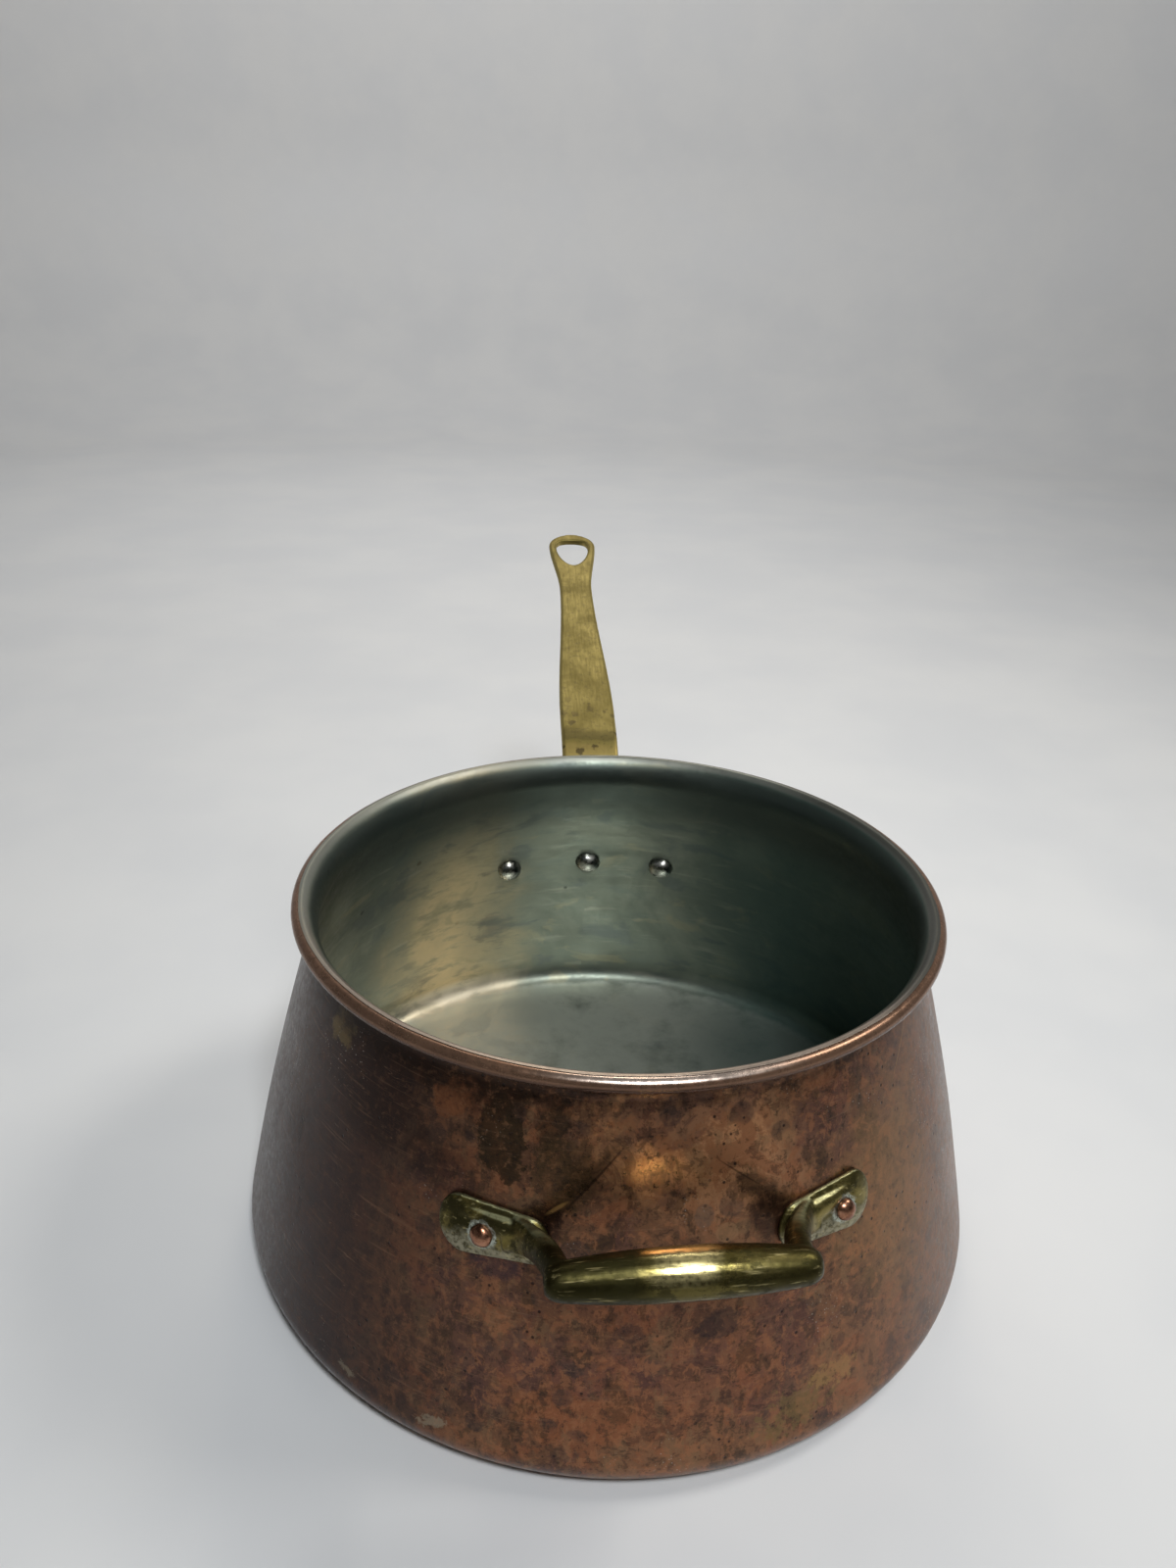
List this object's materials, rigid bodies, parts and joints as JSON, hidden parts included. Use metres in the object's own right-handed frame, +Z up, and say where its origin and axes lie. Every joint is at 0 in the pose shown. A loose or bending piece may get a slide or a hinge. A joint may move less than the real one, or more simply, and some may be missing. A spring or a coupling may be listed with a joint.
{
  "type": "lidless stew pan",
  "caption": "Heavy tin-lined copper stew pan whose walls lean in to a curled rim, with a long brass handle and a small brass helper handle opposite.",
  "frame": {"origin": "centre of the flat base, on the plane that the pan stands on", "axes": "+Z up through the open top, +Y towards the tip of the long handle, -Y towards the helper handle"},
  "size_m": [0.24, 0.3786, 0.1708],
  "materials": {
    "patinated_copper": "brown patinated copper, semi-gloss, mottled, finely scratched",
    "worn_tin": "dull grey wiped tin, darkened by use, bright along the rim",
    "old_brass": "tarnished brass, worn bright where it is held",
    "rivet_copper": "hammered copper heads, tinned on the inside of the pan"
  },
  "bodies": {
    "root": {"copper_body": "patinated_copper", "tin_lining": "worn_tin", "long_handle": "old_brass", "long_handle_rivet_left": "rivet_copper", "long_handle_rivet_centre": "rivet_copper", "long_handle_rivet_right": "rivet_copper", "helper_handle": "old_brass", "helper_rivet_left": "rivet_copper", "helper_rivet_right": "rivet_copper"}
  },
  "joints": []
}
